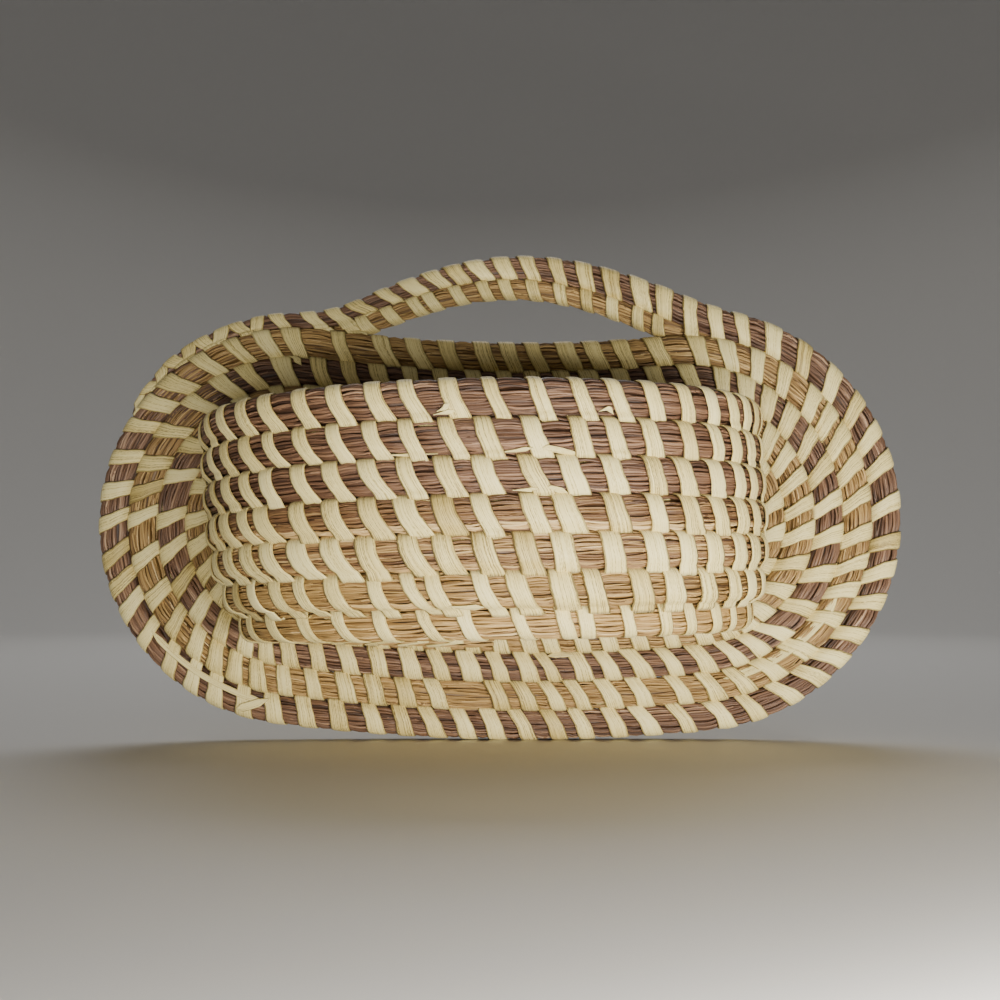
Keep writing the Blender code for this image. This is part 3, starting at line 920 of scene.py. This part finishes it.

# The mat. Stitches were read off the photograph, in thousandths of a turn
WALL_LIMITS = (-(WALL_PLANE - STRIP_THICKNESS - STRIP_CROWN), 1.0)
RING_2_MARKS = (
    (4854, 4881, 4901, 4922, 4942, 4960, 4977, 4990, 5004, 5021, 5039, 5057, 5076, 5093, 5111, 5128)
    + (5145, 5158, 5177, 5193, 5211, 5230, 5249, 5266, 5280, 5294, 5314, 5336, 5358, 5377, 5396, 5413)
    + (5430, 5445, 5459, 5473, 5491, 5512, 5535, 5556, 5575, 5596, 5615, 5636, 5660, 5681, 5703, 5724)
)
RING_3_MARKS = (
    (5745, 5765, 5783, 5797, 5814, 5834, 5853, 5868, 5881, 5902, 5922, 5939, 5954, 5966, 5977, 5989)
    + (6003, 6020, 6039, 6056, 6074, 6092, 6128, 6144, 6160, 6175, 6193, 6211, 6234, 6252, 6266, 6281)
    + (6298, 6318, 6333, 6346, 6360, 6377, 6392, 6406, 6417, 6428, 6445, 6459, 6473, 6487, 6509, 6533)
    + (6553, 6572, 6595, 6613, 6631, 6656, 6679, 6702, 6733)
)
RIM_MARKS = (
    (6760, 6772, 6785, 6800, 6816, 6828, 6840, 6855, 6870, 6883, 6898, 6910, 6921, 6935, 6950, 6962)
    + (6973, 6986, 6999, 7017, 7036, 7056, 7073, 7090, 7108, 7125, 7142, 7160, 7176, 7195, 7213, 7234)
    + (7254, 7267, 7282, 7295, 7306, 7318, 7333, 7346, 7358, 7373, 7389, 7401, 7414, 7428, 7443, 7457)
    + (7470, 7481, 7491, 7502, 7519, 7540, 7559, 7579, 7599, 7617, 7635, 7651, 7666, 7683, 7701, 7721)
)
MAT_MARKS = [mark / 1000 - 1 for mark in RING_2_MARKS]
MAT_MARKS += [mark / 1000 for mark in RING_2_MARKS + RING_3_MARKS + RIM_MARKS]
MAT_LEAN_SHARES = (0, 0.12, 0.25, 0.4, 0.5, 0.6, 0.75, 0.9, 1)
MAT_LEANS = (0.0021, 0.0030, 0.0037, 0.0039, 0.0029, 0.0030, 0.0035, 0.0036, 0.0021)
MAT_WIDTH = 0.0049
FIRST_STITCH = 0.02
LAST_STITCH = RIM_TOP + 0.235

# The lashing of the rim's end: turns, widths and leans
END_LASHINGS = (
    (7.738, 0.0046, -0.0030),
    (7.753, 0.0046, -0.0034),
    (7.766, 0.0042, -0.0026),
    (7.775, 0.0040, 0.0010),
    (7.782, 0.0046, -0.0026),
    (7.790, 0.0048, 0.0020),
    (7.797, 0.0048, -0.0016),
    (7.804, 0.0048, 0.0016),
    (7.811, 0.0050, -0.0020),
    (7.818, 0.0050, 0.0018),
    (7.825, 0.0050, -0.0022),
    (7.832, 0.0052, 0.0024),
)

mat = Course(lambda turns: upright(mat_place(turns)), 0, RIM_END, mat_radius, MAT_SPREAD, flat=True)


def mat_lean(turn):
    return -float(np.interp(turn % 1, MAT_LEAN_SHARES, MAT_LEANS))


# The row under the handle, which tapers to nothing where the gap closes
OPEN_GAP = 0.0028
INNER_TAPER = 0.0007
INNER_STEP = 0.001
INNER_WIDTH = 0.0038
INNER_LEAN = -0.0016
ring_top = mat_place(RIM_TOP - 1 + QUARTER * np.linspace(-0.2, 1.2, 600))


def room_under(turns):
    """Distance from the rim's centre to the centre of the row below it along the handle."""
    return np.linalg.norm(mat_place(turns)[:, None] - ring_top[None], axis=-1).min(axis=1)


def inner_radius(turns):
    room = room_under(turns) - MAT_RADIUS - mat_radius(turns) - 2 * SEAT_GAP
    return np.clip(room / 2, INNER_TAPER, INNER_RADIUS)


def inner_place(turns):
    return upright(inside_row(turns, INNER_STEP, mat_radius(turns) + SEAT_GAP + inner_radius(turns)))


handle_turns = np.linspace(RIM_TOP - QUARTER / 4, RIM_TOP + 1.2 * QUARTER, 2000)
free = room_under(handle_turns) - MAT_RADIUS - mat_radius(handle_turns)
open_turns = handle_turns[free > 2 * (SEAT_GAP + INNER_TAPER)]
inner = Course(inner_place, open_turns[0], open_turns[-1], inner_radius, INNER_SPREAD, flat=True)


def mat_below(distance):
    """The row that a stitch of the mat goes into, and where."""
    turn = float(mat.turn_at(distance))
    if turn < 2 * QUARTER:
        return None
    before = turn - 1 if turn >= 1 else max(3 * QUARTER - turn, 0)
    offset = offset_to(mat, distance, upright(mat_place(before)))
    handle = RIM_TOP - QUARTER / 4 < turn < RIM_TOP + QUARTER
    room = np.linalg.norm(offset) - MAT_RADIUS - float(mat_radius(np.array(turn)))
    if handle and room > OPEN_GAP:
        step, _ = inner.nearest(mat.read(mat.places, distance))
        return offset_to(mat, distance, inner.places[step]), inner, inner.distances[step]
    return offset, mat, mat.distance_at(before)


def inner_below(distance):
    rim = mat.turns > RIM_TOP - QUARTER / 2
    step, _ = mat.nearest(inner.read(inner.places, distance), rim)
    return offset_to(inner, distance, mat.places[step]), mat, mat.distances[step]


def sew(name, course, below_of, stitches, bites, limits=ANYWHERE, pinch=0.0):
    """All the given stitches. Bites are the degrees between which they reach round the row below."""
    shell = Shell()
    for stitch in stitches:
        bite = math.radians(rng.uniform(*bites))
        lay_stitch(shell, course, below_of(stitch[0]), stitch, limits, bite, pinch)
    return shell.build(name, palmetto)


mat.stitches = plan_stitches(mat, MAT_MARKS, FIRST_STITCH, LAST_STITCH, lambda turn: MAT_WIDTH, mat_lean)
lashings = np.array(END_LASHINGS)
lashings[:, 0] = mat.distance_at(lashings[:, 0])
mat.stitches = np.concatenate((mat.stitches, lashings))
seams = [0] + [CENTRE_END + ring for ring in range(MAT_RINGS)] + [RIM_END]
mat_nodes = ["mat_centre_coil"] + [f"mat_ring_{ring}" for ring in range(MAT_RINGS - 1)] + ["mat_rim_coil"]
mat_grasses = [SWEETGRASS, SWEETGRASS, SWEETGRASS, NEEDLES, SWEETGRASS, NEEDLES]
for node, stuff, first, last in zip(mat_nodes, mat_grasses, seams, seams[1:]):
    start = mat.distance_at(first + COLOUR_LAG * (first > 0))
    stop = mat.distance_at(last + COLOUR_LAG * (last < RIM_END))
    lay_bundle(node, mat, start, stop, stuff, WALL_LIMITS, THIN_GRASS if first == 0 else 1)
    own = mat.sewn(start, stop)
    sew(f"{node}_stitches", mat, mat_below, own, MAT_BITE, WALL_LIMITS, MAT_PINCH)

# The row under the handle: stitches at these places across, in mm from the frame's middle
INNER_MARKS = (40, 34, 27, 19.5, 13, 5.5, -2, -8, -16, -22.5, -28, -34, -41)
inner_marks = [int(np.abs(inner.places[:, 0] - mark / 1000).argmin()) for mark in INNER_MARKS]
inner.stitches = np.array([(inner.distances[mark], INNER_WIDTH, INNER_LEAN) for mark in inner_marks])
lay_bundle("handle_inner_row", inner, 0, inner.length, SWEETGRASS, WALL_LIMITS, THIN_GRASS)
binding = sew(
    "handle_inner_row_stitches", inner, inner_below, inner.stitches, TUCKED_BITE, WALL_LIMITS, MAT_PINCH
)
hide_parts("handle_binding")

# The pocket. Stitches from its lowest row up, in thousandths of a turn, and their widths
POCKET_MARKS = (
    (343, 377, 406, 434, 462, 485, 516, 542, 555, 582, 609, 630, 657, 680),
    (315, 339, 365, 386, 410, 437, 458, 471, 497, 516, 540, 558, 587, 610, 638, 666, 692),
    (319, 344, 365, 390, 414, 435, 460, 478, 499, 521, 541, 569, 596, 619, 642, 670, 694),
    (297, 320, 345, 364, 393, 416, 439, 460, 480, 500, 526, 544, 572, 598, 623, 648, 674, 697),
    (304, 327, 350, 370, 396, 418, 441, 461, 482, 502, 527, 548, 572, 598, 620, 647, 673, 695),
    (303, 328, 353, 375, 399, 421, 443, 463, 485, 504, 529, 554, 574, 597, 624, 649, 671, 694),
    (301, 326, 351, 374, 400, 423, 446, 465, 487, 509, 533, 556, 577, 600, 624, 647, 670, 691, 712),
)
LEFT_WIDTHS = (0.0033, 0.0034, 0.0047, 0.0044, 0.0037, 0.0034, 0.0036)
RIGHT_WIDTHS = (0.0031, 0.0045, 0.0046, 0.0043, 0.0041, 0.0038, 0.0034)
POCKET_MARGIN = 0.01
STITCH_LEAN = 0.0032
UPRIGHT_SHARES = (0.45, 0.55)
LESS_LEAN = 0.0008
LOW_ROWS = 3
LOW_LESS_LEAN = 0.0009


def pocket_width(turn):
    widths = LEFT_WIDTHS if turn % 1 < 0.5 else RIGHT_WIDTHS
    return widths[min(int(turn), POCKET_ROWS - 1)]


def pocket_lean(turn):
    """Stitches lean least on the right of the lowest rows."""
    less = LESS_LEAN + LOW_LESS_LEAN * (turn < LOW_ROWS)
    return STITCH_LEAN - less * float(np.interp(turn % 1, UPRIGHT_SHARES, (0, 1)))


floor = Course(
    floor_place, 0, FLOOR_END, lambda turns: floor_radius(turns) + FLOOR_SWELL, FLOOR_SPREAD, flat=False
)
floor_edge = FLOOR_END - FLOOR_MARGIN
floor.stitches = plan_stitches(
    floor, FLOOR_MARKS, FLOOR_MARGIN, floor_edge, lambda turn: FLOOR_WIDTH, lambda turn: FLOOR_LEAN
)


def pocket_below(distance):
    turn = float(pocket.turn_at(distance))
    if turn < 1:
        place = pocket_place(turn) - pocket.read(pocket.front, distance) * (POCKET_RADIUS + FLOOR_GAP)
        step, _ = floor.nearest(place)
        inward = np.array((-(POCKET_RADIUS + FLOOR_GAP + floor_radius(floor.turns[step])), 0.0))
        return inward, floor, floor.distances[step]
    return offset_to(pocket, distance, pocket_place(turn - 1)), pocket, pocket.distance_at(turn - 1)


def floor_below(distance):
    earlier = floor.turns < float(floor.turn_at(distance)) - FLOOR_ROW_TURNS
    step, away = floor.nearest(floor.read(floor.places, distance), earlier)
    if away > 3 * FLOOR_LAST_RADII[0]:
        return None
    return offset_to(floor, distance, floor.places[step]), floor, floor.distances[step]


pocket = Course(
    pocket_place, 0, POCKET_ROWS, lambda turns: 0 * turns + POCKET_RADIUS, POCKET_SPREAD, flat=False
)
marks = [row + mark / 1000 for row, shares in enumerate(POCKET_MARKS) for mark in shares]
last_mark = POCKET_ROWS - POCKET_MARGIN
pocket.stitches = plan_stitches(pocket, marks, POCKET_MARGIN, last_mark, pocket_width, pocket_lean)
pocket_nodes = (
    ("pocket_coil_sweetgrass", 0, 2, GOLDEN),
    ("pocket_coil_blended", 2, 4, BLENDED),
    ("pocket_coil_pine_needle", 4, POCKET_ROWS, NEEDLES),
)
for node, first, last, stuff in pocket_nodes:
    lay_bundle(node, pocket, pocket.distance_at(first), pocket.distance_at(last), stuff)
for row in range(POCKET_ROWS):
    own = pocket.sewn(pocket.distance_at(row), pocket.distance_at(row + 1))
    name = f"pocket_row_{POCKET_ROWS - row}_stitches"
    sew(name, pocket, pocket_below, own, POCKET_BITE, pinch=-POCKET_FLARE)
lay_bundle("pocket_floor", floor, 0, floor.length, SWEETGRASS)
sew("pocket_floor_stitches", floor, floor_below, floor.stitches, MAT_BITE)

# Loose ends of palmetto: each mark's turn, degrees round the row and height over it in mm, then the
# strip's width and the shares of its length that taper
POCKET_TAILS = (
    (((6.479, -42, 0.4), (6.483, -34, 0.7), (6.486, -22, 0.3)), 0.0018, (0.9, 0.3)),
    (((6.477, -52, 0.3), (6.483, -46, 0.5), (6.489, -44, 0.1)), 0.0015, (0.8, 0.3)),
    (((6.566, -46, 0.1), (6.571, -34, 0.5), (6.575, -52, 0.3)), 0.0012, (0.5, 0.4)),
    (((5.448, -52, 0.1), (5.462, -56, 0.25), (5.478, -55, 0.1)), 0.0011, (0.5, 0.5)),
    (((5.510, -55, 0.1), (5.518, -50, 0.3), (5.528, -40, 0.4)), 0.0013, (0.8, 0.2)),
    (((5.533, -40, 0.3), (5.542, -46, 0.5), (5.552, -60, 0.5)), 0.0017, (0.12, 0.1)),
    (((4.516, -52, 0.2), (4.524, -50, 0.4), (4.532, -50, 0.2)), 0.0013, (0.6, 0.3)),
    (((4.534, -45, 0.2), (4.541, -50, 0.5), (4.547, -64, 0.6)), 0.0017, (0.12, 0.4)),
    (((1.476, -50, 0.2), (1.486, -52, 0.5), (1.497, -52, 0.5)), 0.0021, (0.8, 0.2)),
    (((0.474, 52, 0.5), (0.482, 38, 1.0), (0.490, 50, 0.7)), 0.0032, (0.3, 0.6)),
)
MAT_TAILS = (
    (((6.934, -24, 0.1), (6.955, -30, 0.2), (6.975, -32, 0.2), (6.996, -24, 0.1)), 0.0018, (0.1, 0.1)),
    (((6.984, 28, 0.5), (6.990, -2, 0.7), (6.997, -38, 0.5)), 0.0024, (0.2, 0.3)),
    (((6.715, 46, 0.5), (6.721, 70, 0.9), (6.728, 58, 0.5)), 0.0026, (0.3, 0.6)),
    (((5.756, 12, 0.4), (5.759, 34, 0.9), (5.763, 50, 0.5)), 0.0020, (0.3, 0.6)),
    (((7.711, -66, 0.4), (7.719, -70, 0.7), (7.727, -52, 0.4)), 0.0030, (0.3, 0.5)),
    (((6.258, -30, -0.2), (6.280, -30, -0.2), (6.305, -26, -0.2), (6.330, -18, -0.2)), 0.0026, (0.1, 0.1)),
    (((5.157, -46, 0.2), (5.165, -52, 0.5), (5.173, -44, 0.3)), 0.0026, (0.3, 0.4)),
)
for name, course, tails in (("pocket_tails", pocket, POCKET_TAILS), ("mat_tails", mat, MAT_TAILS)):
    shell = Shell()
    for marks, width, tips in tails:
        lay_tail(shell, course, marks, width, tips)
    shell.build(name, palmetto)

# Stage: a pale floor that rises far behind
STAGE_RADIUS = 0.9
STAGE_RISE = 0.5
STAGE_SIDES = 72
STAGE_DROP = 0.0008
floor_level = CAD_BOX[0][2] - STAGE_DROP
bend = np.linspace(0, math.pi / 2, 15)
radii = [*(STAGE_RADIUS + STAGE_RISE * np.sin(bend)), STAGE_RADIUS + STAGE_RISE]
levels = [*(STAGE_RISE - STAGE_RISE * np.cos(bend)), 3 * STAGE_RISE]
round_stage = np.arange(STAGE_SIDES) / STAGE_SIDES * 2 * np.pi
grid = [
    np.insert(radius * ways(round_stage), 2, floor_level + level, axis=1)
    for radius, level in zip(radii, levels)
]
faces = [tuple(range(STAGE_SIDES))]
for row in range(len(grid) - 1):
    here = STAGE_SIDES * row + np.arange(STAGE_SIDES)
    ahead = np.roll(here, -1)
    faces += np.stack((here, here + STAGE_SIDES, ahead + STAGE_SIDES, ahead), -1).tolist()
mesh = bpy.data.meshes.new("studio_floor")
mesh.from_pydata(np.concatenate(grid), [], faces)
mesh.materials.append(plain_material("pale_floor", (0.74, 0.73, 0.71), 0.8))
mesh.shade_smooth()
studio = add_object("studio_floor", mesh)


def add_light(name, place, target, size, power, colour):
    light = bpy.data.lights.new(name, "AREA")
    light.shape = "RECTANGLE"
    light.size, light.size_y = size
    light.energy = power
    light.color = colour
    lamp = add_object(name, light)
    lamp.location = place
    lamp.visible_camera = False
    lamp.rotation_euler = (Vector(target) - Vector(place)).to_track_quat("-Z", "Y").to_euler()


# Soft light from low on the right, as in the photograph, with a little from above
MIDDLE = (0, -0.03, -0.05)
BEHIND = (0, 0.3, -0.12)
WARM = (1, 0.95, 0.86)
add_light("key", (0.06, -0.265, -0.1145), MIDDLE, (0.4, 0.012), 0.36, WARM)
add_light("near", (0.06, -0.185, -0.119), MIDDLE, (0.3, 0.005), 0.54, WARM)
add_light("back", (0.0, 0.5, 0.8), BEHIND, (0.8, 0.5), 3.6, (1, 0.99, 0.97))
world = bpy.data.worlds.new("studio")
world.use_nodes = True
world.node_tree.nodes["Background"].inputs["Color"].default_value = (0.99, 0.98, 1, 1)
world.node_tree.nodes["Background"].inputs["Strength"].default_value = 0.1
bpy.context.scene.world = world

lens = bpy.data.cameras.new("camera")
lens.lens = CAMERA_LENS
lens.sensor_width = SENSOR
lens.shift_y = CAMERA_RISE
lens.clip_start = 0.01
lens.clip_end = 10
camera = add_object("camera", lens)
camera.location = CAMERA_PLACE
camera.rotation_euler = (math.pi / 2, 0, 0)
bpy.context.scene.camera = camera
